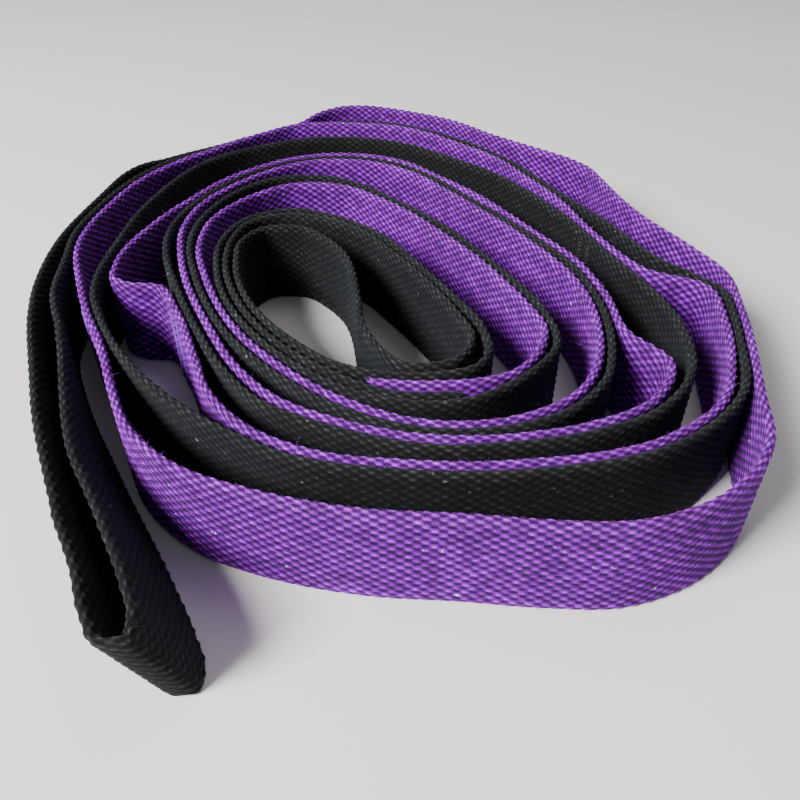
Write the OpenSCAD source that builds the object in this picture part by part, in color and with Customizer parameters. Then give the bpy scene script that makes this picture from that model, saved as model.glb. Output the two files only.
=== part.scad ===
// Multi-loop stretching strap, resting as a loose coil on its edge
// Two woven webbings, black inside and purple outside, are tacked together at nine places.
// Between the tacks they part into eight grip loops, and the black one ends in two handle loops.

/* [Webbing] */
// Width of both webbings, which is the height of the resting coil
web_w = 25; // [20:1:50]
// Thickness of one webbing
web_t = 1.9; // [1.2:0.1:2.0]

/* [Tacks] */
// Length of a sewn tack along the strap
tack_l = 8; // [4:1:14]
// Height of a sewn tack across the webbing
tack_h = 21; // [12:1:24]
// How far the thread stands proud of the webbing faces
thread_proud = 0.1; // [0.05:0.05:0.2]

/* [Outer handle] */
// Greatest lean of the outer handle, top edge away from the coil
lean_max = 20; // [0:1:30]
// Compass direction of that lean
lean_dir = 215; // [180:5:250]

/* [Colours] */
// Black webbing
black_col = [0.13, 0.14, 0.16];
// Purple webbing
purple_col = [0.45, 0.22, 0.68];
// Sewing thread
thread_col = [0.10, 0.10, 0.12];

/* [Hidden] */
// Straight pieces per span of a path
steps = 5;
// Trim at both ends of a band, so that neighbours do not touch
trim = 0.05;
// Middle of the resting strap, moved to the origin
mid = [2.64, 12.26];

// Middle lines of the webbings, seen from above, as smooth curves through listed points.
// Both run from the inside of the coil outwards, counterclockwise.
black_path = [
    [16, -79.5], [1.5, -79], [-16.5, -68.5], [-26.5, -59], [-38.5, -41], [-46.5, -14],
    [-46.5, -6], [-42.5, 6.5], [-30, 11.5], [-24.5, 10], [-8, -1], [1, -14],
    [12, -33.5], [17.5, -46], [20.5, -57], [16, -66.5], [6, -68.5], [-6.5, -50.5],
    [-8, -38.5], [-14.5, -11.5], [-19, -5], [-27.5, 2.5], [-38, 2], [-43.5, -7],
    [-43, -18.5], [-35.5, -41.5], [-21, -60.5], [-12, -68], [12, -72], [20.5, -69],
    [24, -63], [23.5, -53.5], [16.5, -37], [6.5, -18], [-0.5, -5.5], [-20.5, 11.5],
    [-29, 14.5], [-44, 8.5], [-49.5, -8], [-48, -21.5], [-41, -42], [-18.5, -70.5],
    [-6.5, -79], [13.5, -82.5], [33.5, -70.5], [40.5, -60], [39, -43], [32, -26.5],
    [15, 5], [1, 22], [-8.5, 32.5], [-21.5, 41], [-40, 39.5], [-48.5, 31.5],
    [-58, 10], [-58, -10], [-53.5, -25], [-38, -57], [-23, -74], [-12.5, -82.5],
    [7, -91], [20.5, -91.5], [40.5, -84], [49.5, -73.5], [53.5, -60.5], [54.5, -38.5],
    [50, -19], [43, -5], [24, 25.5], [11.5, 43.5], [1.5, 53], [-19, 59],
    [-32, 56.5], [-43.5, 49], [-57, 32], [-66, 5.5], [-66, -2.5], [-55, -36.5],
    [-45.5, -56], [-38.5, -68.5], [-28.5, -81], [-11.5, -90.5], [10, -96.5], [24, -96],
    [45.5, -91.5], [58, -85], [70, -69.5], [72.5, -54], [71, -40.5], [64, -19.5],
    [52, 14.5], [34, 45.5], [18.5, 61], [8, 70], [-6, 77], [-25.5, 79],
    [-44, 72], [-57.5, 63.5], [-66.5, 53.5], [-74.5, 33.5], [-79.5, -2.5], [-77, -38],
    [-71.5, -49.5], [-59, -68.5], [-32.5, -92], [-20, -99], [1, -103.5], [37, -102.5],
    [52.5, -99], [69.5, -88.5], [79, -77.5], [85, -57.5], [88, -42], [88.5, -36.5],
    [82.5, -26], [76.5, -18.5], [66, 5.5], [50.5, 37.5], [44, 52], [32.5, 68.5],
    [17, 84], [6, 92], [-15, 97.5], [-29, 98], [-41.5, 94], [-58, 79.5],
    [-72.5, 63], [-81.5, 52], [-92.5, 18.5], [-94, -1.5], [-91.5, -17], [-88, -36.5],
    [-81.5, -51], [-63, -82], [-43.5, -112.5], [-36.5, -124.5], [-33.5, -131], [-33.5, -135],
    [-37.5, -135.5], [-41.5, -130.5], [-46, -121.5], [-55.5, -106], [-75, -75.5], [-91, -43.5],
    [-97, -8.5], [-94, 27.5], [-90.5, 47], [-82.5, 60.5], [-58.5, 87]
];
purple_path = [
    [-3, -74.5], [6.5, -75.5], [30.5, -70], [38.5, -54], [35, -40], [29.5, -27],
    [19, -7.5], [-2, 21.5], [-15.5, 33], [-32, 34.5], [-47.5, 22.5], [-54.5, 8.5],
    [-55, -11], [-50.5, -26], [-34, -58], [-8, -82], [6.5, -88.5], [26, -88],
    [43, -78], [49.5, -65.5], [52, -52], [50.5, -30.5], [46, -17.5], [36, 2],
    [16.5, 32], [6.5, 45], [-9.5, 55], [-28.5, 55], [-42, 46.5], [-51, 36],
    [-61, 17], [-62.5, 3], [-58.5, -18], [-44.5, -51.5], [-33.5, -70.5], [-24.5, -80.5],
    [-7, -89.5], [8, -93.5], [34.5, -92], [43.5, -89.5], [58.5, -81], [65.5, -67],
    [58.5, -55.5], [57, -37], [52, -17], [44.5, -3], [26.5, 28], [17, 40.5],
    [3.5, 55], [-16.5, 62], [-30, 60], [-42, 53.5], [-57, 37.5], [-63, 25.5],
    [-71.5, 6], [-76, -21.5], [-74.5, -28.5], [-70, -31.5], [-61.5, -33], [-54, -44.5],
    [-45, -65], [-39.5, -78], [-29.5, -90], [-12, -99], [2.5, -101], [23.5, -101.5],
    [58, -93.5], [73.5, -81], [80, -66.5], [84, -49.5], [84.5, -33], [70, -23.5],
    [63.5, -10], [61, -2.5], [53.5, 24.5], [47, 39], [38, 57], [24, 73.5],
    [14, 83.5], [0.5, 91.5], [-19, 95], [-38, 93], [-50.5, 83.5], [-64, 68.5],
    [-74.5, 56.5], [-83, 43], [-88.5, 24], [-90, -11], [-83.5, -29.5], [-77, -44],
    [-67.5, -62], [-61, -76.5], [-53.5, -90.5], [-39, -103.5], [-26, -109], [-4.5, -114],
    [15, -115.5], [31, -117], [47, -117], [65, -109.5], [78, -95], [82, -80],
    [90, -44.5], [92, -25], [86.5, -10], [78.5, 8.5], [74, 23.5], [71, 39],
    [69, 48.5], [64, 56.5], [54, 66.5], [38.5, 82], [23.5, 98], [12, 106],
    [-21, 115], [-30.5, 109], [-37, 100.5], [-45, 95], [-60.5, 80.5], [-70, 70.5],
    [-72.5, 67.5]
];

function dir(a, b) = (b - a) / norm(b - a);
function slope(p, i) =
    i == 0 ? dir(p[0], p[1]) :
    i == len(p) - 1 ? dir(p[i - 1], p[i]) :
    let (a = norm(p[i] - p[i - 1]), b = norm(p[i + 1] - p[i]))
    (dir(p[i - 1], p[i]) * b + dir(p[i], p[i + 1]) * a) / (a + b);
function at(p, q) =
    let (i = min(floor(q + 0.001), len(p) - 2), u = q - i, d = norm(p[i + 1] - p[i]))
    (2 * pow(u, 3) - 3 * pow(u, 2) + 1) * p[i]
    + (pow(u, 3) - 2 * pow(u, 2) + u) * d * slope(p, i)
    + (3 * pow(u, 2) - 2 * pow(u, 3)) * p[i + 1]
    + (pow(u, 3) - pow(u, 2)) * d * slope(p, i + 1);
function along(p, q) = dir(at(p, max(q - 0.02, 0)), at(p, min(q + 0.02, len(p) - 1)));
function side(v) = [-v[1], v[0]];
function stations(a, b) = [for (k = [round(a * steps) : round(b * steps)]) k / steps];
function trimmed(p, a, b) =
    let (s = stations(a, b), n = len(s) - 1)
    [for (k = [0 : n]) at(p, s[k]) + (k == 0 ? trim : k == n ? -trim : 0) * along(p, s[k])];
function band_edge(p, a, b, w) =
    let (s = stations(a, b), c = trimmed(p, a, b))
    [for (k = [0 : len(s) - 1]) c[k] + w * side(along(p, s[k]))];
function reversed(v) = [for (k = [len(v) - 1 : -1 : 0]) v[k]];

// One upright band of webbing
module band(p, a, b) {
    linear_extrude(web_w)
        polygon(concat(band_edge(p, a, b, web_t / 2), reversed(band_edge(p, a, b, -web_t / 2))));
}

// Lean along the outer handle: upright at the tack, full past the middle, easing off on the way back
function ease(u) = let (v = max(0, min(1, u))) v * v * (3 - 2 * v);
function lean(q) = lean_max * ease((q - 131.9) / 1.6) * ease((143.1 - q) / 2.5);

// One leaning band of webbing, standing on its lower edge
module leaning_band(p, a, b) {
    s = stations(a, b);
    n = len(s);
    left = band_edge(p, a, b, web_t / 2);
    right = band_edge(p, a, b, -web_t / 2);
    up = [for (q = s) web_w * [sin(lean(q)) * cos(lean_dir), sin(lean(q)) * sin(lean_dir), cos(lean(q))]];
    pts = [for (k = [0 : n - 1]) each [
        [left[k][0], left[k][1], 0],
        [right[k][0], right[k][1], 0],
        [right[k][0], right[k][1], 0] + up[k],
        [left[k][0], left[k][1], 0] + up[k]
    ]];
    walls = [for (k = [0 : n - 2]) for (j = [0 : 3]) each [
        [4 * k + j, 4 * k + (j + 1) % 4, 4 * k + 4 + (j + 1) % 4],
        [4 * k + j, 4 * k + 4 + (j + 1) % 4, 4 * k + 4 + j]
    ]];
    ends = [[0, 3, 2], [0, 2, 1], [4 * n - 4, 4 * n - 3, 4 * n - 2], [4 * n - 4, 4 * n - 2, 4 * n - 1]];
    polyhedron(points = pts, faces = concat(walls, ends));
}

// One sewn tack: a block of stitching through both webbings, and through a tail this far outside them
module tack(on_purple, on_black, tail_out) {
    a = at(purple_path, on_purple);
    v = along(purple_path, on_purple);
    gap = (at(black_path, on_black) - a) * side(v);
    thick = gap + tail_out + web_t + 2 * thread_proud;
    c = a + side(v) * (gap - tail_out) / 2;
    translate([c[0], c[1], web_w / 2])
        rotate([0, 0, atan2(v[1], v[0])])
            cube([tack_l, thick, tack_h], center = true);
}

module black_tail_1() {
    color(black_col) band(black_path, 0, 2);
}

module black_handle_1_outer() {
    color(black_col) band(black_path, 2, 14);
}

module black_handle_1_inner() {
    color(black_col) band(black_path, 14, 27.6);
}

module black_loop_1() {
    color(black_col) band(black_path, 27.6, 40.4);
}

module black_loop_2() {
    color(black_col) band(black_path, 40.4, 55);
}

module black_loop_3() {
    color(black_col) band(black_path, 55, 66);
}

module black_loop_4() {
    color(black_col) band(black_path, 66, 77.4);
}

module black_loop_5() {
    color(black_col) band(black_path, 77.4, 89.4);
}

module black_loop_6() {
    color(black_col) band(black_path, 89.4, 101.4);
}

module black_loop_7() {
    color(black_col) band(black_path, 101.4, 111.8);
}

module black_loop_8_near() {
    color(black_col) band(black_path, 111.8, 117.4);
}

module black_loop_8_far() {
    color(black_col) band(black_path, 117.6, 126);
}

module black_tail_2() {
    color(black_col) band(black_path, 147.2, 148);
}

module black_handle_2_inner() {
    color(black_col) leaning_band(black_path, 126.6, 137);
}

module black_handle_2_outer() {
    color(black_col) leaning_band(black_path, 137, 147);
}

module purple_loop_1() {
    color(purple_col) band(purple_path, 0, 14);
}

module purple_loop_2() {
    color(purple_col) band(purple_path, 14, 31.6);
}

module purple_loop_3() {
    color(purple_col) band(purple_path, 31.6, 44);
}

module purple_loop_4() {
    color(purple_col) band(purple_path, 44, 59);
}

module purple_loop_5() {
    color(purple_col) band(purple_path, 59, 73);
}

module purple_loop_6_right() {
    color(purple_col) band(purple_path, 73, 81);
}

module purple_loop_6_left() {
    color(purple_col) band(purple_path, 81, 89);
}

module purple_loop_7() {
    color(purple_col) band(purple_path, 89, 102);
}

module purple_loop_8_near() {
    color(purple_col) band(purple_path, 102, 107.8);
}

module purple_loop_8_far() {
    color(purple_col) band(purple_path, 108.2, 120);
}

module tack_1() {
    color(thread_col) tack(0.6, 27.6, 3.9);
}

module tack_2() {
    color(thread_col) tack(14, 40.4, 0);
}

module tack_3() {
    color(thread_col) tack(31.6, 55, 0);
}

module tack_4() {
    color(thread_col) tack(44, 66, 0);
}

module tack_5() {
    color(thread_col) tack(59, 77.4, 0);
}

module tack_6() {
    color(thread_col) tack(73, 89.4, 0);
}

module tack_7() {
    color(thread_col) tack(89, 101.4, 0);
}

module tack_8() {
    color(thread_col) tack(102, 111.8, 0);
}

module tack_9() {
    color(thread_col) tack(118.2, 125.2, 3);
}

translate([mid[0], mid[1], 0]) {
    black_tail_1();
    black_handle_1_outer();
    black_handle_1_inner();
    black_loop_1();
    black_loop_2();
    black_loop_3();
    black_loop_4();
    black_loop_5();
    black_loop_6();
    black_loop_7();
    black_loop_8_near();
    black_loop_8_far();
    black_tail_2();
    black_handle_2_inner();
    black_handle_2_outer();
    purple_loop_1();
    purple_loop_2();
    purple_loop_3();
    purple_loop_4();
    purple_loop_5();
    purple_loop_6_right();
purple_loop_6_left();
    purple_loop_7();
    purple_loop_8_near();
    purple_loop_8_far();
    tack_1();
    tack_2();
    tack_3();
    tack_4();
    tack_5();
    tack_6();
    tack_7();
    tack_8();
    tack_9();
}
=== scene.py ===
"""Multi-loop stretching strap, resting as a loose coil on its edge.

Two woven webbings, black inside and purple outside, are sewn together at nine tacks.
Each band of webbing is one mesh, with the relief of a plain weave on both faces and round both edges.
Lengths in this file are in millimetres until a mesh is made, except those of the camera, the lamps and
the materials' bumps, which are in metres.
"""

import math

import bpy
import numpy as np
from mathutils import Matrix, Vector


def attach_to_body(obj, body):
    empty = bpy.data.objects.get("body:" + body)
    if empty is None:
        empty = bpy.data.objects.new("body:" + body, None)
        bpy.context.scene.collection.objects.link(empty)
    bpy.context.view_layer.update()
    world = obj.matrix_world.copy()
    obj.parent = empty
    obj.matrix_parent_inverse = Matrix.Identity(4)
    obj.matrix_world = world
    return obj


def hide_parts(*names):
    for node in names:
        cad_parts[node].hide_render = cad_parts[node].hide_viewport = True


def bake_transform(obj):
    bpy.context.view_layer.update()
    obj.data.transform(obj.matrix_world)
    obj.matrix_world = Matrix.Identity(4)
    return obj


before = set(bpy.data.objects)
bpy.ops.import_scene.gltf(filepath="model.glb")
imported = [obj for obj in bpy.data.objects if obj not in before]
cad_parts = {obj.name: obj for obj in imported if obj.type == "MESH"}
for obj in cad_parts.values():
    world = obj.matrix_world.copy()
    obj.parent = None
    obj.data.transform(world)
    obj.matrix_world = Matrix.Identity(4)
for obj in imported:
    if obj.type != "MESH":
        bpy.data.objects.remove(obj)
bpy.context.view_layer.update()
MM = 0.001
UP = np.array([0.0, 0.0, 1.0])

# Webbing
WIDTH = 25.0  # also the height of the resting coil
HALF_THICK = 0.78  # without the yarns' relief
FACE_RELIEF = 0.29  # how far the yarns stand out of the faces
EDGE_RELIEF = 0.30  # the same round the edges, where the cross yarns turn back
PICK = 1.6  # spacing of the yarns that run across
FACE_ROWS = 21  # yarns that run along, on each flat face
EDGE_ROWS = 4  # and round each edge
ROWS = 2 * (FACE_ROWS + EDGE_ROWS)
PER_PICK = 3  # mesh steps along, for each yarn across
PER_END = 3  # mesh steps across, for each yarn along
YARN_TILT = -0.4  # how far the yarns' twist skews a bump

# Tacks
BAR_W = 2.2  # width of one bar of zigzag stitching
BAR_H = 20.6  # its height
BAR_APART = 4.6  # distance between the two bars of a tack
STITCH = 0.55  # rise of one stitch
THREAD_R = 0.17  # radius of the thread

# Lean of the outer handle, as in the CAD
LEAN_MAX = math.radians(20)
LEAN_DIR = math.radians(215)

# Middle lines of the webbings in plan, from the inside of the coil outwards, and the coil's middle
MID = np.array([2.64, 12.26])
BLACK_PATH = (
    (16, -79.5), (1.5, -79), (-16.5, -68.5), (-26.5, -59), (-38.5, -41), (-46.5, -14),
    (-46.5, -6), (-42.5, 6.5), (-30, 11.5), (-24.5, 10), (-8, -1), (1, -14),
    (12, -33.5), (17.5, -46), (20.5, -57), (16, -66.5), (6, -68.5), (-6.5, -50.5),
    (-8, -38.5), (-14.5, -11.5), (-19, -5), (-27.5, 2.5), (-38, 2), (-43.5, -7),
    (-43, -18.5), (-35.5, -41.5), (-21, -60.5), (-12, -68), (12, -72), (20.5, -69),
    (24, -63), (23.5, -53.5), (16.5, -37), (6.5, -18), (-0.5, -5.5), (-20.5, 11.5),
    (-29, 14.5), (-44, 8.5), (-49.5, -8), (-48, -21.5), (-41, -42), (-18.5, -70.5),
    (-6.5, -79), (13.5, -82.5), (33.5, -70.5), (40.5, -60), (39, -43), (32, -26.5),
    (15, 5), (1, 22), (-8.5, 32.5), (-21.5, 41), (-40, 39.5), (-48.5, 31.5),
    (-58, 10), (-58, -10), (-53.5, -25), (-38, -57), (-23, -74), (-12.5, -82.5),
    (7, -91), (20.5, -91.5), (40.5, -84), (49.5, -73.5), (53.5, -60.5), (54.5, -38.5),
    (50, -19), (43, -5), (24, 25.5), (11.5, 43.5), (1.5, 53), (-19, 59),
    (-32, 56.5), (-43.5, 49), (-57, 32), (-66, 5.5), (-66, -2.5), (-55, -36.5),
    (-45.5, -56), (-38.5, -68.5), (-28.5, -81), (-11.5, -90.5), (10, -96.5), (24, -96),
    (45.5, -91.5), (58, -85), (70, -69.5), (72.5, -54), (71, -40.5), (64, -19.5),
    (52, 14.5), (34, 45.5), (18.5, 61), (8, 70), (-6, 77), (-25.5, 79),
    (-44, 72), (-57.5, 63.5), (-66.5, 53.5), (-74.5, 33.5), (-79.5, -2.5), (-77, -38),
    (-71.5, -49.5), (-59, -68.5), (-32.5, -92), (-20, -99), (1, -103.5), (37, -102.5),
    (52.5, -99), (69.5, -88.5), (79, -77.5), (85, -57.5), (88, -42), (88.5, -36.5),
    (82.5, -26), (76.5, -18.5), (66, 5.5), (50.5, 37.5), (44, 52), (32.5, 68.5),
    (17, 84), (6, 92), (-15, 97.5), (-29, 98), (-41.5, 94), (-58, 79.5),
    (-72.5, 63), (-81.5, 52), (-92.5, 18.5), (-94, -1.5), (-91.5, -17), (-88, -36.5),
    (-81.5, -51), (-63, -82), (-43.5, -112.5), (-36.5, -124.5), (-33.5, -131), (-33.5, -135),
    (-37.5, -135.5), (-41.5, -130.5), (-46, -121.5), (-55.5, -106), (-75, -75.5), (-91, -43.5),
    (-97, -8.5), (-94, 27.5), (-90.5, 47), (-82.5, 60.5), (-58.5, 87)
)
PURPLE_PATH = (
    (-3, -74.5), (6.5, -75.5), (30.5, -70), (38.5, -54), (35, -40), (29.5, -27),
    (19, -7.5), (-2, 21.5), (-15.5, 33), (-32, 34.5), (-47.5, 22.5), (-54.5, 8.5),
    (-55, -11), (-50.5, -26), (-34, -58), (-8, -82), (6.5, -88.5), (26, -88),
    (43, -78), (49.5, -65.5), (52, -52), (50.5, -30.5), (46, -17.5), (36, 2),
    (16.5, 32), (6.5, 45), (-9.5, 55), (-28.5, 55), (-42, 46.5), (-51, 36),
    (-61, 17), (-62.5, 3), (-58.5, -18), (-44.5, -51.5), (-33.5, -70.5), (-24.5, -80.5),
    (-7, -89.5), (8, -93.5), (34.5, -92), (43.5, -89.5), (58.5, -81), (65.5, -67),
    (58.5, -55.5), (57, -37), (52, -17), (44.5, -3), (26.5, 28), (17, 40.5),
    (3.5, 55), (-16.5, 62), (-30, 60), (-42, 53.5), (-57, 37.5), (-63, 25.5),
    (-71.5, 6), (-76, -21.5), (-74.5, -28.5), (-70, -31.5), (-61.5, -33), (-54, -44.5),
    (-45, -65), (-39.5, -78), (-29.5, -90), (-12, -99), (2.5, -101), (23.5, -101.5),
    (58, -93.5), (73.5, -81), (80, -66.5), (84, -49.5), (84.5, -33), (70, -23.5),
    (63.5, -10), (61, -2.5), (53.5, 24.5), (47, 39), (38, 57), (24, 73.5),
    (14, 83.5), (0.5, 91.5), (-19, 95), (-38, 93), (-50.5, 83.5), (-64, 68.5),
    (-74.5, 56.5), (-83, 43), (-88.5, 24), (-90, -11), (-83.5, -29.5), (-77, -44),
    (-67.5, -62), (-61, -76.5), (-53.5, -90.5), (-39, -103.5), (-26, -109), (-4.5, -114),
    (15, -115.5), (31, -117), (47, -117), (65, -109.5), (78, -95), (82, -80),
    (90, -44.5), (92, -25), (86.5, -10), (78.5, 8.5), (74, 23.5), (71, 39),
    (69, 48.5), (64, 56.5), (54, 66.5), (38.5, 82), (23.5, 98), (12, 106),
    (-21, 115), (-30.5, 109), (-37, 100.5), (-45, 95), (-60.5, 80.5), (-70, 70.5),
    (-72.5, 67.5)
)

# Bands of webbing: name, first and last point, and the body it goes with, or the two bodies it lies between.
# Where a band crosses a joint, a separate piece lies between two others; it goes with neither body.
BLACK_BANDS = [
    ("black_tail_1", 0, 2, "coil"),
    ("black_handle_1_outer", 2, 14, "coil"),
    ("black_handle_1_inner", 14, 27.6, "coil"),
    ("black_loop_1", 27.6, 40.4, "coil"),
    ("black_loop_2", 40.4, 55, "coil"),
    ("black_loop_3", 55, 66, "coil"),
    ("black_loop_4", 66, 77.4, "coil"),
    ("black_loop_5", 77.4, 89.4, "coil"),
    ("black_loop_6", 89.4, 101.4, "coil"),
    ("black_loop_7", 101.4, 111.8, "coil"),
    ("black_loop_8_near", 111.8, 116.2, "coil"),
    ("black_loop_8_bend", 116.2, 118.8, "coil outer_run"),
    ("black_loop_8_far", 118.8, 126.0, "outer_run"),
    ("black_handle_2_bend_inner", 126.0, 127.7, "outer_run outer_handle"),
    ("black_handle_2_inner", 127.7, 137, "outer_handle"),
    ("black_handle_2_outer", 137, 146, "outer_handle"),
    ("black_handle_2_bend_outer", 146, 147.5, "outer_handle outer_run"),
    ("black_tail_2", 147.5, 148, "outer_run"),
]
PURPLE_BANDS = [
    ("purple_loop_1", 0, 14, "coil"),
    ("purple_loop_2", 14, 31.6, "coil"),
    ("purple_loop_3", 31.6, 44, "coil"),
    ("purple_loop_4", 44, 59, "coil"),
    ("purple_loop_5", 59, 73, "coil"),
    ("purple_loop_6", 73, 89, "coil"),
    ("purple_loop_7", 89, 102, "coil"),
    ("purple_loop_8_near", 102, 106.6, "coil"),
    ("purple_loop_8_bend", 106.6, 109.4, "coil outer_run"),
    ("purple_loop_8_far", 109.4, 120, "outer_run"),
]
# Tacks: point on the purple webbing, on the black one, how far outside a tail of the black one lies,
# the point on that tail, and the body
TACKS = [
    (0.6, 27.6, 3.9, 1.2, "coil"),
    (14, 40.4, 0, None, "coil"),
    (31.6, 55, 0, None, "coil"),
    (44, 66, 0, None, "coil"),
    (59, 77.4, 0, None, "coil"),
    (73, 89.4, 0, None, "coil"),
    (89, 101.4, 0, None, "coil"),
    (102, 111.8, 0, None, "coil"),
    (118.2, 125.2, 3, 147.6, "outer_run"),
]
# Places where a webbing's top edge hangs lower: first and last point, and how far
BLACK_SAGS = [(121.5, 127, 1.4), (146.2, 151, 3.2)]
PURPLE_SAGS = [(114.0, 122.5, 2.4)]


def ease(u):
    """Smooth step from 0 to 1."""
    v = np.clip(u, 0, 1)
    return v * v * (3 - 2 * v)


def hashed(*keys):
    """A number from 0 to 1 that looks random but depends only on the whole numbers given."""
    mix = np.zeros(np.broadcast(*keys).shape)
    for key, factor in zip(keys, (12.9898, 78.233, 37.719)):
        mix = mix + np.asarray(key) * factor
    return np.modf(np.abs(np.sin(mix) * 43758.5453))[0]


def wander(s, seed):
    """A slow, smooth wave from about -1 to 1 along the webbing."""
    waves = ((41.0, 0.45), (67.0, 0.35), (137.0, 0.30))
    return sum(a * np.sin(2 * np.pi * s / w + seed * (k + 1.7)) for k, (w, a) in enumerate(waves))


class Route:
    """A webbing's middle line: the same smooth curve through the same points as in the CAD."""

    def __init__(self, points, seed, sags, leans):
        self.seed, self.sags, self.leans = seed, sags, leans
        self.knots = np.array(points, float) + MID
        step = np.diff(self.knots, axis=0)
        self.span = np.linalg.norm(step, axis=1)
        way = step / self.span[:, None]
        before, after = self.span[:-1, None], self.span[1:, None]
        inner = (way[:-1] * after + way[1:] * before) / (before + after)
        self.slope = np.vstack([way[:1], inner, way[-1:]])
        self.table_q = np.linspace(0, len(self.knots) - 1, 50 * (len(self.knots) - 1) + 1)
        hops = np.linalg.norm(np.diff(self.at(self.table_q), axis=0), axis=1)
        self.table_s = np.concatenate([[0.0], np.cumsum(hops)])

    def at(self, q):
        """Place in plan at point number q, which may be a fraction."""
        q = np.clip(np.asarray(q, float), 0, len(self.knots) - 1)
        i = np.minimum(q.astype(int), len(self.knots) - 2)
        u, d = (q - i)[..., None], self.span[i][..., None]
        return (
            (2 * u**3 - 3 * u**2 + 1) * self.knots[i]
            + (u**3 - 2 * u**2 + u) * d * self.slope[i]
            + (3 * u**2 - 2 * u**3) * self.knots[i + 1]
            + (u**3 - u**2) * d * self.slope[i + 1]
        )

    def arc(self, q):
        """Length along the webbing up to point number q."""
        return np.interp(q, self.table_q, self.table_s)

    def number(self, s):
        """Point number at a length along the webbing."""
        return np.interp(s, self.table_s, self.table_q)

    def along(self, s):
        """Direction of the webbing in plan."""
        ahead = self.at(self.number(s + 0.15)) - self.at(self.number(s - 0.15))
        return ahead / np.linalg.norm(ahead, axis=-1, keepdims=True)

    def lean(self, s):
        """Lean of the outer handle."""
        if not self.leans:
            return np.zeros_like(s)
        q = self.number(s)
        return LEAN_MAX * ease((q - 131.9) / 1.6) * ease((143.1 - q) / 2.5)

    def top(self, s):
        """Height of the top edge as a share of the width."""
        q = self.number(s)
        low = sum(
            depth * ease((q - a) / (0.35 * (b - a))) * ease((b - q) / (0.35 * (b - a)))
            for a, b, depth in self.sags
        )
        return 1 + 0.006 * wander(s, self.seed) - low / WIDTH


def profile(rows):
    """The cross-section of the webbing at these row numbers: offset to the left, height, outward normal.

    Rows go up the left face, round the top, down the right face and round the bottom.
    """
    round_h = 1.0
    low, high = EDGE_RELIEF - 0.06 + round_h, WIDTH - EDGE_RELIEF + 0.06 - round_h
    up = np.clip((rows - 0.5) / FACE_ROWS, 0, 1)
    over = np.clip((rows - 0.5 - FACE_ROWS) / EDGE_ROWS, 0, 1)
    down = np.clip((rows - 0.5 - FACE_ROWS - EDGE_ROWS) / FACE_ROWS, 0, 1)
    under = np.clip((rows - 0.5 - 2 * FACE_ROWS - EDGE_ROWS) / EDGE_ROWS, 0, 1)
    angle = np.pi * (over + under)
    nx, nz = np.cos(angle) / HALF_THICK, np.sin(angle) / round_h
    size = np.hypot(nx, nz)
    height = low + (high - low) * (up - down) + round_h * np.sin(angle)
    return HALF_THICK * np.cos(angle), height, nx / size, nz / size


def weave(s, rows, seed):
    """Height of the yarns, from 0 in the gaps to about 1 on a bump, each bump's tone, nearness to the edge."""
    row = np.round(rows)
    off = rows - row
    drift = 0.22 * wander(s + 9 * row, seed + 0.3 * row)
    phase = (s + drift + YARN_TILT * off) / PICK + row
    bump = np.round(phase / 2)
    size = 0.78 + 0.44 * hashed(bump, row, seed)
    over = np.cos(np.pi * phase) * np.clip(np.cos(np.pi * off), 0, 1) ** 0.6
    height = np.clip((over * size + 0.40) / 1.40, 0, None) ** 0.85
    middle = FACE_ROWS + EDGE_ROWS / 2 + 0.5
    from_edge = np.abs((rows - middle + ROWS / 4) % (ROWS / 2) - ROWS / 4)
    return np.clip(height, 0, 1.12), hashed(bump, row, seed + 5), ease((EDGE_ROWS - from_edge) / 2)


def surface(route, s, rows):
    """Points on the webbing's surface at every s and row, and their weave values."""
    s2, r2 = np.meshgrid(s, rows, indexing="ij")
    x, z, nx, nz = profile(r2)
    height, tone, edge = weave(s2, r2, route.seed)
    relief = (FACE_RELIEF + (EDGE_RELIEF - FACE_RELIEF) * edge) * height
    scallop = 0.05 * edge * np.cos(np.pi * s2 / PICK) * np.sign(z - WIDTH / 2)
    across = x + nx * relief
    tall = (z + nz * relief + scallop * np.abs(nz)) * route.top(s2)
    centre = route.at(route.number(s2))
    way = route.along(s2)
    left = np.stack([-way[..., 1], way[..., 0]], -1)
    lean = route.lean(s2)
    fall = tall * np.sin(lean)
    plan = centre + left * across[..., None]
    plan = plan + fall[..., None] * np.array([math.cos(LEAN_DIR), math.sin(LEAN_DIR)])
    return np.dstack([plan, tall * np.cos(lean)]), height, tone, edge


def stations(route, a, b):
    """Lengths along the webbing from point a to point b, on the weave's own steps."""
    first, last = route.arc(a), route.arc(b)
    step = PICK / PER_PICK
    inside = np.arange(math.ceil(first / step + 0.3), math.floor(last / step - 0.3) + 1) * step
    return np.concatenate([[first], inside, [last]])


def make_object(name, points, faces, material, smooth=True):
    """An object with one mesh, from points in millimetres."""
    mesh = bpy.data.meshes.new(name)
    mesh.from_pydata(points * MM, [], faces)
    mesh.polygons.foreach_set("use_smooth", [smooth] * len(mesh.polygons))
    mesh.materials.append(material)
    mesh.update()
    obj = bpy.data.objects.new(name, mesh)
    bpy.context.scene.collection.objects.link(obj)
    return obj


def add_values(obj, **values):
    """Keeps one number for each vertex under each name, for the materials."""
    for name, value in values.items():
        layer = obj.data.attributes.new(name, "FLOAT", "POINT")
        layer.data.foreach_set("value", np.asarray(value, np.float32).ravel())


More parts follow.
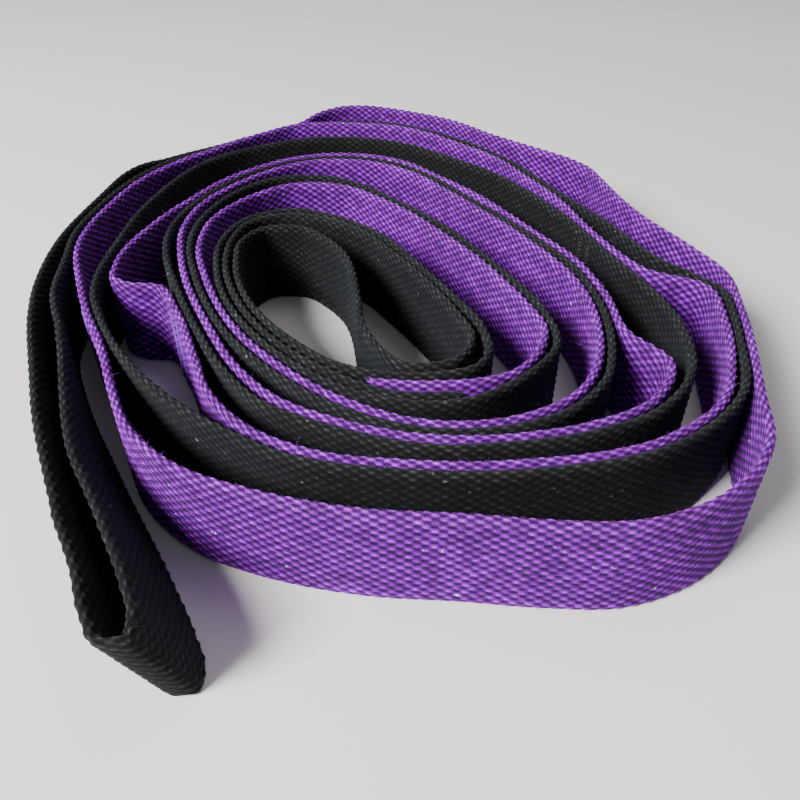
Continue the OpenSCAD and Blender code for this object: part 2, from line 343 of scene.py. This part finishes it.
def band(name, route, a, b, material):
    """One band of woven webbing, from point a to point b."""
    s = stations(route, a, b)
    around = ROWS * PER_END
    rows = 0.5 + np.arange(around) / PER_END
    points, height, tone, edge = surface(route, s, rows)
    k, m = np.meshgrid(np.arange(len(s) - 1), np.arange(around), indexing="ij")
    nxt = (m + 1) % around
    quads = np.stack([k * around + m, k * around + nxt, (k + 1) * around + nxt, (k + 1) * around + m], -1)
    start_cap = list(range(around - 1, -1, -1))
    end_cap = [(len(s) - 1) * around + i for i in range(around)]
    faces = quads.reshape(-1, 4).tolist() + [start_cap, end_cap]
    obj = make_object(name, points.reshape(-1, 3), faces, material)
    # The relief value also sets the painted shade in the gaps and the painted highlight on the bumps in the
    # cloth's colour
    add_values(obj, relief=height, tone=tone, selvedge=edge)
    pitch = WIDTH / (FACE_ROWS + 2)
    u = np.stack([s[k], s[k], s[k + 1], s[k + 1]], -1).ravel()
    v = np.stack([m, m + 1, m + 1, m], -1).ravel() / PER_END * pitch
    caps = np.full(2 * around, -5.0)
    uv = np.column_stack([np.concatenate([u, caps]), np.concatenate([v, caps])]) * 0.01
    obj.data.uv_layers.new(name="yarns").data.foreach_set("uv", uv.ravel().astype(np.float32))
    return obj


def tubes(rings, radius, sides=5):
    """Closed tubes along many lines at once: rings is an array of (lines, places, 3)."""
    lines, places, _ = rings.shape
    way = np.gradient(rings, axis=1)
    way /= np.linalg.norm(way, axis=2, keepdims=True) + 1e-9
    other = np.where(np.abs(way[..., 2:3]) < 0.8, UP, np.array([1.0, 0.0, 0.0]))
    first = np.cross(way, other)
    first /= np.linalg.norm(first, axis=2, keepdims=True)
    second = np.cross(way, first)
    angle = np.arange(sides) * 2 * np.pi / sides
    out = (
        first[:, :, None] * np.cos(angle)[None, None, :, None]
        + second[:, :, None] * np.sin(angle)[None, None, :, None]
    )
    points = (rings[:, :, None] + out * radius[:, :, None, None]).reshape(-1, 3)
    n, k, j = np.meshgrid(np.arange(lines), np.arange(places - 1), np.arange(sides), indexing="ij")
    base, nxt = (n * places + k) * sides, (j + 1) % sides
    walls = np.stack([base + j, base + nxt, base + sides + nxt, base + sides + j], -1).reshape(-1, 4)
    starts = [[(n * places) * sides + j for j in reversed(range(sides))] for n in range(lines)]
    ends = [[(n * places + places - 1) * sides + j for j in range(sides)] for n in range(lines)]
    return points, walls.tolist() + starts + ends


def fibre_lines(route, spans, per_mm, rng):
    """Short stray fibres, most of them along the top edge, as lines of four points."""
    lines = []
    for a, b in spans:
        first, last = route.arc(a), route.arc(b)
        count = int((last - first) * per_mm)
        s = rng.uniform(first + 1, last - 1, count)
        rows = np.where(
            rng.random(count) < 0.75,
            rng.normal(FACE_ROWS + EDGE_ROWS / 2 + 0.5, 1.8, count),
            rng.uniform(1, ROWS - EDGE_ROWS, count),
        )
        x, z, nx, nz = profile(rows)
        height, _, _ = weave(s, rows, route.seed)
        way = route.along(s)
        left = np.column_stack([-way[:, 1], way[:, 0], np.zeros(count)])
        normal = left * nx[:, None] + UP * nz[:, None]
        root = np.column_stack([route.at(route.number(s)), np.zeros(count)]) + left * x[:, None]
        root += UP * (z * route.top(s))[:, None] + normal * (0.25 * height)[:, None]
        lean = route.lean(s)
        root[:, :2] += (root[:, 2] * np.sin(lean))[:, None] * [math.cos(LEAN_DIR), math.sin(LEAN_DIR)]
        root[:, 2] *= np.cos(lean)
        length = np.clip(rng.gamma(2.0, 0.22, count), 0.15, 1.3)
        length = np.where(rng.random(count) < 0.008, rng.uniform(2, 5, count), length)[:, None]
        bend = rng.normal(0, 0.5, (count, 3))
        flow = np.column_stack([way, np.zeros(count)]) * rng.normal(0, 0.9, count)[:, None]
        aim = normal + flow + rng.normal(0, 0.25, (count, 3))
        aim /= np.linalg.norm(aim, axis=1, keepdims=True)
        places = [root + aim * length * t + bend * length * t * t * 0.6 for t in (0, 0.35, 0.7, 1)]
        lines.append(np.stack(places, 1))
    lines = np.concatenate(lines)
    lines[..., 2] = np.clip(lines[..., 2], 0.06, WIDTH + 1.6)
    return lines


def fuzz(name, route, spans, per_mm, seed, material):
    """One piece with all the stray fibres of some spans of a webbing."""
    rng = np.random.default_rng(seed)
    lines = fibre_lines(route, spans, per_mm, rng)
    radius = rng.uniform(0.015, 0.030, len(lines))[:, None] * np.array([1.0, 0.9, 0.75, 0.35])
    points, faces = tubes(lines, radius, 3)
    obj = make_object(name, points, faces, material)
    # Painted highlight: a relief of 1 gives the stray fibres the crests' painted highlight colour
    lit = np.full(len(points), 1.0)
    add_values(obj, relief=lit, tone=np.repeat(rng.random(len(lines)), 12), selvedge=lit)
    return obj


def cut_end(name, route, q, outward, seed, material):
    """The ends of the yarns where a webbing is cut, in a short fringe."""
    rng = np.random.default_rng(seed)
    rows = np.repeat(np.arange(1, ROWS + 1), 5) + rng.uniform(-0.35, 0.35, 5 * ROWS)
    s = np.array([route.arc(q)])
    x, z, nx, nz = profile(rows)
    depth = rng.uniform(0.25, 1.0, len(rows))
    way = np.append(route.along(s)[0], 0) * outward
    left = np.array([-route.along(s)[0][1], route.along(s)[0][0], 0.0])
    root = np.append(route.at(q), 0) + np.outer(x * depth, left)
    root = root + np.outer(z * route.top(s)[0], UP) - way * 0.3
    length = rng.uniform(0.7, 1.7, len(rows))[:, None]
    stray = rng.normal(0, 0.28, (len(rows), 3))
    lines = np.stack([root + way * length * t + stray * length * t * t for t in (0, 0.4, 0.75, 1)], 1)
    lines[..., 2] = np.clip(lines[..., 2], 0.1, WIDTH)
    radius = rng.uniform(0.07, 0.12, len(rows))[:, None] * np.array([1.0, 1.0, 0.9, 0.5])
    points, faces = tubes(lines, radius, 4)
    obj = make_object(name, points, faces, material)
    # Painted highlight: a relief of 0.7 gives the cut ends part of the crests' painted highlight colour
    lit = np.full(len(points), 0.7)
    add_values(obj, relief=lit, tone=np.repeat(rng.random(len(lines)), 16), selvedge=lit)
    return obj


def tack_lines(spot, way, out, tall):
    """Two bars of zigzag stitching on one face, at spot, with normal out; tall is the share of full height."""
    count = int(BAR_H / STITCH)
    lines = []
    for bar in (-1, 1):
        i = np.arange(count)
        low = (WIDTH - BAR_H) / 2 + i * STITCH
        swing = np.where(i % 2 == 0, 1.0, -1.0) * BAR_W / 2
        places = []
        for t in np.linspace(0, 1, 6):
            x = bar * BAR_APART / 2 + swing * (1 - 2 * t)
            lift = -0.22 + 0.36 * math.sin(math.pi * t) ** 0.6
            places.append(spot + np.outer(x, way) + np.outer((low + STITCH * t) * tall, UP) + out * lift)
        lines.append(np.stack(places, 1))
    return np.concatenate(lines)


def tack(number, on_purple, on_black, tail_out, on_tail, inner_thread, outer_thread):
    """Stitching through both webbings, seen on the inner and the outer face."""
    s = purple.arc(on_purple)
    way = np.append(purple.along(np.array([s]))[0], 0)
    left = np.array([-way[1], way[0], 0.0])
    a = np.append(purple.at(on_purple), 0)
    b = np.append(black.at(on_black), 0)
    gap = (b - a) @ left
    proud = HALF_THICK + FACE_RELIEF * 0.8
    inner_top = float(black.top(black.arc(on_black)))
    outer_top = float(black.top(black.arc(on_tail)) if on_tail else purple.top(s))
    inner = tack_lines(a + left * (gap + proud), way, left, inner_top)
    outer = tack_lines(a - left * (tail_out + proud), way, -left, outer_top)
    objects = []
    for side, lines, thread in (("inner", inner, inner_thread), ("outer", outer, outer_thread)):
        points, faces = tubes(lines, np.full(lines.shape[:2], THREAD_R), 6)
        objects.append(make_object(f"stitches_{number}_{side}", points, faces, thread))
    return objects


class Nodes:
    """Adds nodes to a material in reading order."""

    def __init__(self, name):
        self.material = bpy.data.materials.new(name)
        self.material.use_nodes = True
        self.tree = self.material.node_tree
        self.shader = self.tree.nodes["Principled BSDF"]

    def add(self, kind, settings=None, **inputs):
        """A new node, with its settings and its inputs."""
        node = self.tree.nodes.new(kind)
        for key, value in (settings or {}).items():
            setattr(node, key, value)
        for key, value in inputs.items():
            self.put(node, key.replace("_", " "), value)
        return node

    def put(self, node, key, value):
        """Links or sets one input of a node, by name or by number."""
        key = int(key) if key.isdigit() else key
        if isinstance(value, bpy.types.NodeSocket):
            self.tree.links.new(value, node.inputs[key])
        else:
            node.inputs[key].default_value = value

    def maths(self, operation, *values):
        """Result of one arithmetic operation."""
        node = self.add("ShaderNodeMath", {"operation": operation})
        for i, value in enumerate(values):
            self.put(node, str(i), value)
        return node.outputs[0]

    def spread(self, value, low, high, to_low=0.0, to_high=1.0):
        """The value, moved from one range to another."""
        node = self.add("ShaderNodeMapRange")
        keys = ("Value", "From Min", "From Max", "To Min", "To Max")
        for key, number in zip(keys, (value, low, high, to_low, to_high)):
            self.put(node, key, number)
        return node.outputs["Result"]

    def mix(self, factor, first, second):
        """The first colour where factor is 0, the second where it is 1."""
        node = self.add("ShaderNodeMix", {"data_type": "RGBA"})
        for socket, value in ((node.inputs[0], factor), (node.inputs[6], first), (node.inputs[7], second)):
            if isinstance(value, bpy.types.NodeSocket):
                self.tree.links.new(value, socket)
            else:
                socket.default_value = value
        return node.outputs[2]

    def value(self, name):
        """A number kept on the mesh by add_values."""
        return self.add("ShaderNodeAttribute", {"attribute_name": name}).outputs["Fac"]


def woven(name, gap, yarn, crest_highlight, worn, speck, sheen_tint, roughness=0.86):
    """Cotton webbing: painted shade in the gaps between the yarns and a painted highlight on the bumps, both
    set by the yarns' height; a worn and lighter selvedge; pale specks of lint.
    """
    n = Nodes(name)
    relief, tone, edge = n.value("relief"), n.value("tone"), n.value("selvedge")
    place = n.add("ShaderNodeTexCoord").outputs["Object"]
    yarns = n.add("ShaderNodeUVMap", {"uv_map": "yarns"}).outputs[0]
    # Painted shade and highlight: the colour goes from gap (painted shade between the yarns) through yarn to
    # crest (painted highlight on the bumps) as the yarns' height rises
    low = n.mix(n.spread(relief, 0.08, 0.5), gap, yarn)
    colour = n.mix(n.spread(relief, 0.55, 1.05), low, crest_highlight)
    colour = n.mix(n.maths("MULTIPLY", edge, n.spread(relief, 0.3, 1.0, 0.05, 0.5)), colour, worn)
    cloud = n.add("ShaderNodeTexNoise", Vector=place, Scale=45.0, Detail=4.0).outputs["Fac"]
    grain = n.add("ShaderNodeTexNoise", Vector=place, Scale=3200.0, Detail=3.0).outputs["Fac"]
    shade = n.maths("MULTIPLY", n.spread(tone, 0, 1, 0.62, 1.32), n.spread(cloud, 0.3, 0.7, 0.86, 1.12))
    shade = n.maths("MULTIPLY", shade, n.spread(grain, 0.3, 0.7, 0.62, 1.38))
    hsv = n.add("ShaderNodeHueSaturation", Color=colour, Value=shade)
    lint = n.add("ShaderNodeTexNoise", Vector=place, Scale=620.0, Detail=2.0).outputs["Fac"]
    dots = n.maths("MULTIPLY", n.spread(lint, 0.70, 0.76), n.spread(relief, 0.3, 0.8, 0.0, 0.8))
    colour = n.mix(dots, hsv.outputs[0], speck)
    strands = n.add("ShaderNodeMapping", Vector=yarns)
    strands.inputs["Rotation"].default_value = (0, 0, math.radians(24))
    along = {"bands_direction": "Y"}
    twist = n.add("ShaderNodeTexWave", along, Vector=strands.outputs[0], Scale=82.0, Distortion=1.2)
    plies = n.maths("ADD", twist.outputs["Fac"], n.maths("MULTIPLY", grain, 0.9))
    bump = n.add("ShaderNodeBump", Strength=0.8, Distance=0.00016, Height=plies)
    n.put(n.shader, "Base Color", colour)
    n.put(n.shader, "Roughness", n.spread(grain, 0.3, 0.7, roughness - 0.07, roughness + 0.07))
    n.put(n.shader, "Normal", bump.outputs[0])
    n.put(n.shader, "Specular IOR Level", 0.18)
    n.put(n.shader, "Sheen Weight", 0.04)
    n.put(n.shader, "Sheen Roughness", 0.45)
    n.put(n.shader, "Sheen Tint", sheen_tint)
    return n.material


def thread(name, colour):
    """Twisted sewing thread."""
    n = Nodes(name)
    place = n.add("ShaderNodeTexCoord").outputs["Object"]
    slanting = {"bands_direction": "DIAGONAL"}
    twist = n.add("ShaderNodeTexWave", slanting, Vector=place, Scale=900.0, Distortion=2.0)
    shade = n.spread(twist.outputs["Fac"], 0, 1, 0.7, 1.25)
    hsv = n.add("ShaderNodeHueSaturation", Color=colour, Value=shade)
    bump = n.add("ShaderNodeBump", Strength=0.6, Distance=0.00006, Height=twist.outputs["Fac"])
    n.put(n.shader, "Base Color", hsv.outputs[0])
    n.put(n.shader, "Roughness", 0.55)
    n.put(n.shader, "Normal", bump.outputs[0])
    n.put(n.shader, "Sheen Weight", 0.04)
    return n.material


def attach(obj, bodies, route, a, b):
    """The piece goes with its body; a piece between two bodies goes with neither and only has its transform
    baked into its mesh.
    """
    names = bodies.split()
    if len(names) == 1:
        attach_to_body(obj, names[0])
        return
    inset = 2.0
    ends = [route.at(route.number(route.arc(q) + d)) for q, d in ((a, inset), (b, -inset))]
    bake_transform(obj)


# Camera
camera = bpy.data.objects.new("camera", bpy.data.cameras.new("camera"))
camera.location = (0.00564, -0.19774, 0.12654)
camera.rotation_euler = (math.radians(51.5), 0, 0)
camera.data.lens = 34.2
camera.data.clip_start = 0.01
bpy.context.scene.collection.objects.link(camera)
bpy.context.scene.camera = camera

# Materials
# Colours of each cloth in order: painted shade in the gaps, yarn, painted highlight on the crests, worn
# selvedge, lint specks, sheen tint
black_cloth = woven(
    "black_cotton", (0.0010, 0.0011, 0.0013, 1), (0.0045, 0.0052, 0.0062, 1), (0.019, 0.022, 0.027, 1),
    (0.050, 0.054, 0.058, 1), (0.22, 0.23, 0.25, 1), (0.6, 0.7, 0.85, 1),
)
purple_cloth = woven(
    "purple_cotton", (0.022, 0.001, 0.060, 1), (0.155, 0.002, 0.340, 1), (0.440, 0.020, 0.770, 1),
    (0.430, 0.070, 0.690, 1), (0.85, 0.72, 0.95, 1), (1.0, 0.75, 1.0, 1),
)
black_thread = thread("black_thread", (0.005, 0.0055, 0.0065, 1))
purple_thread = thread("purple_thread", (0.16, 0.035, 0.40, 1))

# Webbings
black = Route(BLACK_PATH, 2, BLACK_SAGS, True)
purple = Route(PURPLE_PATH, 11, PURPLE_SAGS, False)
for bands, route, cloth, slot in (
    (BLACK_BANDS, black, black_cloth, "black_webbing"),
    (PURPLE_BANDS, purple, purple_cloth, "purple_webbing"),
):
    for name, a, b, bodies in bands:
        piece = band("woven_" + name, route, a, b, cloth)
        attach(piece, bodies, route, a, b)
        stands_for = [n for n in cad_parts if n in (name, name + "_right", name + "_left")]
        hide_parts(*stands_for)
        length = (route.arc(b) - route.arc(a)) * MM

# Stray fibres and cut ends
for name, route, spans, body, cloth, slot in (
    ("fuzz_black_coil", black, [(0, 116.2)], "coil", black_cloth, "black_webbing"),
    ("fuzz_black_run", black, [(118.8, 126.0), (147.5, 148)], "outer_run", black_cloth, "black_webbing"),
    ("fuzz_black_handle", black, [(127.7, 146)], "outer_handle", black_cloth, "black_webbing"),
    ("fuzz_purple_coil", purple, [(0, 106.6)], "coil", purple_cloth, "purple_webbing"),
    ("fuzz_purple_run", purple, [(109.4, 120)], "outer_run", purple_cloth, "purple_webbing"),
):
    seed = len(name)
    piece = fuzz(name, route, spans, 1.4, seed, cloth)
    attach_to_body(piece, body)
for name, route, q, outward, body, cloth, slot in (
    ("cut_end_black_inner", black, 0, -1, "coil", black_cloth, "black_webbing"),
    ("cut_end_black_outer", black, 148, 1, "outer_run", black_cloth, "black_webbing"),
    ("cut_end_purple_inner", purple, 0, -1, "coil", purple_cloth, "purple_webbing"),
    ("cut_end_purple_outer", purple, 120, 1, "outer_run", purple_cloth, "purple_webbing"),
):
    piece = cut_end(name, route, q, outward, len(name), cloth)
    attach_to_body(piece, body)

# Tacks
for i, (on_purple, on_black, tail_out, on_tail, body) in enumerate(TACKS):
    outer_thread = black_thread if tail_out else purple_thread
    stitches = tack(i + 1, on_purple, on_black, tail_out, on_tail, black_thread, outer_thread)
    for piece in stitches:
        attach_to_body(piece, body)
    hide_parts(f"tack_{i + 1}")

# Floor and light
floor_nodes = Nodes("pale_floor")
floor_nodes.put(floor_nodes.shader, "Base Color", (0.76, 0.74, 0.72, 1))
floor_nodes.put(floor_nodes.shader, "Roughness", 0.6)
size = 3000.0
corners = np.array([(-size, -size, 0), (size, -size, 0), (size, size, 0), (-size, size, 0)])
floor = make_object("floor", corners, [(0, 1, 2, 3)], floor_nodes.material, False)


def lamp(name, place, aim, width, watts, colour):
    """A square soft light that faces the point aim."""
    data = bpy.data.lights.new(name, "AREA")
    data.size, data.energy, data.color = width, watts, colour
    obj = bpy.data.objects.new(name, data)
    obj.location = place
    way = np.array(aim) - np.array(place)
    obj.rotation_euler = Vector(way).to_track_quat("-Z", "Y").to_euler()
    bpy.context.scene.collection.objects.link(obj)
    return obj


window = lamp("window", (-0.74, -0.58, 0.78), (0, 0, 0), 0.42, 44, (1.0, 0.98, 0.96))
fill = lamp("fill", (0.30, 0.40, 1.05), (0, 0, 0), 0.7, 3, (1.0, 0.98, 0.96))
world = bpy.data.worlds.new("studio")
world.use_nodes = True
world.node_tree.nodes["Background"].inputs[0].default_value = (0.92, 0.95, 1.0, 1)
world.node_tree.nodes["Background"].inputs[1].default_value = 0.22
bpy.context.scene.world = world
